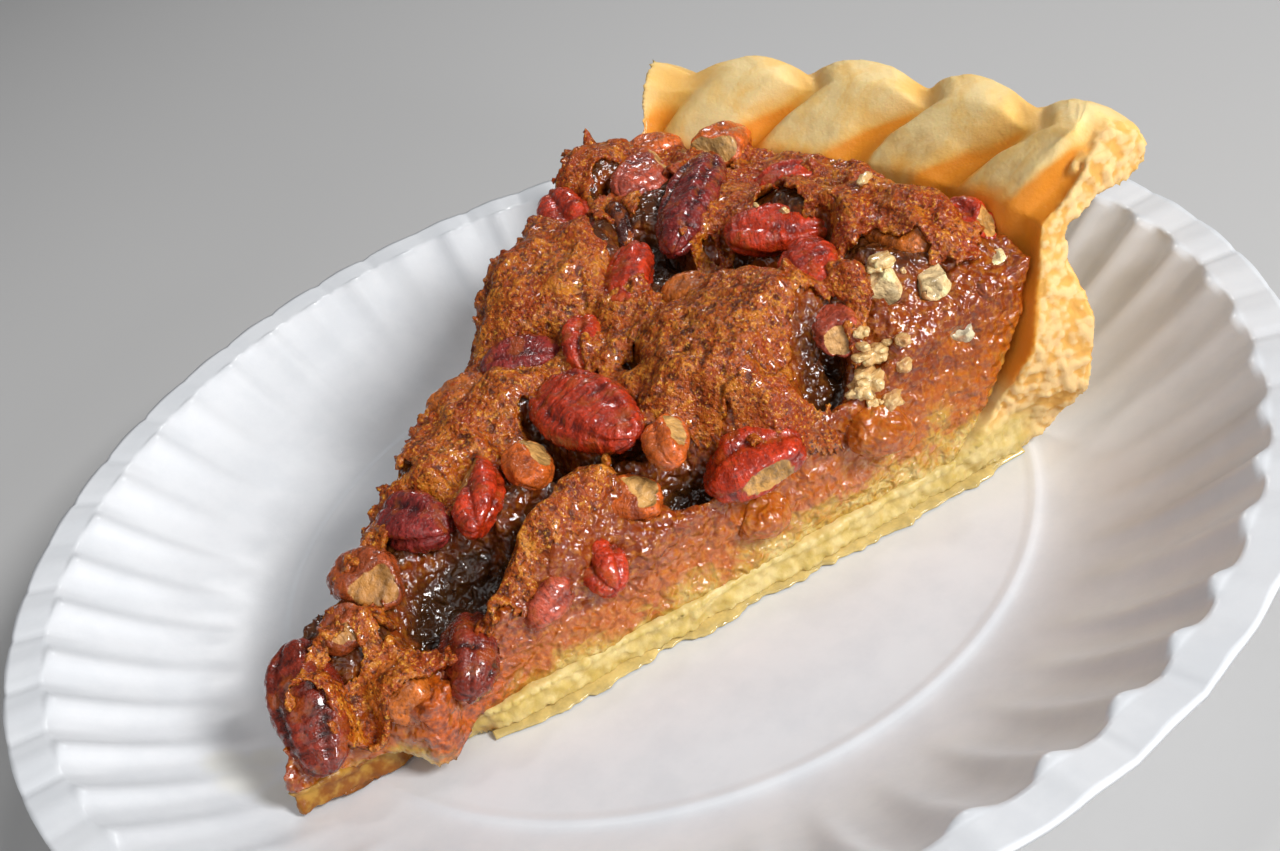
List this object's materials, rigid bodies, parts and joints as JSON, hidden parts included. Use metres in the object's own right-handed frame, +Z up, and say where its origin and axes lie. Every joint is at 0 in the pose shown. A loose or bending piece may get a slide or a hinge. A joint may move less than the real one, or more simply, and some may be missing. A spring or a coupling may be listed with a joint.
{
  "type": "slice of pecan pie on a paper plate",
  "caption": "Wedge of pecan pie with a rope-crimped crust rim and chopped pecans in browned skin over custard, on a fluted paper plate.",
  "frame": {"origin": "middle of the plate's underside, on the surface it stands on", "axes": "+Z up, +Y from the slice's point to its crust, +X to the right of that"},
  "size_m": [0.1526, 0.1526, 0.0383],
  "materials": {
    "coated_paper": "smooth white coated paper, faint cool tint, soft sheen",
    "baked_pastry": "pale golden baked shortcrust, dry and faintly blistered, glazed low in the crimps",
    "custard_and_skin": "translucent amber custard, wet and grainy at the cut, with a spongy orange-brown skin on top",
    "toasted_pecan": "wrinkled glossy red-brown nut skin, cream to tan where chopped"
  },
  "bodies": {
    "root": {"plate": "coated_paper", "crust": "baked_pastry", "filling": "custard_and_skin", "pecan_01": "toasted_pecan", "pecan_02": "toasted_pecan", "pecan_03": "toasted_pecan", "pecan_04": "toasted_pecan", "pecan_05": "toasted_pecan", "pecan_06": "toasted_pecan", "pecan_07": "toasted_pecan", "pecan_08": "toasted_pecan", "pecan_09": "toasted_pecan", "pecan_10": "toasted_pecan", "pecan_11": "toasted_pecan", "pecan_12": "toasted_pecan", "pecan_13": "toasted_pecan", "pecan_14": "toasted_pecan", "pecan_15": "toasted_pecan", "pecan_16": "toasted_pecan", "pecan_17": "toasted_pecan", "pecan_18": "toasted_pecan", "pecan_19": "toasted_pecan", "pecan_20": "toasted_pecan", "pecan_21": "toasted_pecan", "pecan_22": "toasted_pecan", "pecan_23": "toasted_pecan", "pecan_24": "toasted_pecan", "pecan_25": "toasted_pecan", "pecan_26": "toasted_pecan", "pecan_27": "toasted_pecan", "pecan_28": "toasted_pecan", "pecan_29": "toasted_pecan", "pecan_30": "toasted_pecan", "pecan_31": "toasted_pecan", "pecan_32": "toasted_pecan", "pecan_33": "toasted_pecan", "pecan_34": "toasted_pecan", "pecan_35": "toasted_pecan", "pecan_36": "toasted_pecan", "pecan_37": "toasted_pecan", "pecan_38": "toasted_pecan"}
  },
  "joints": []
}
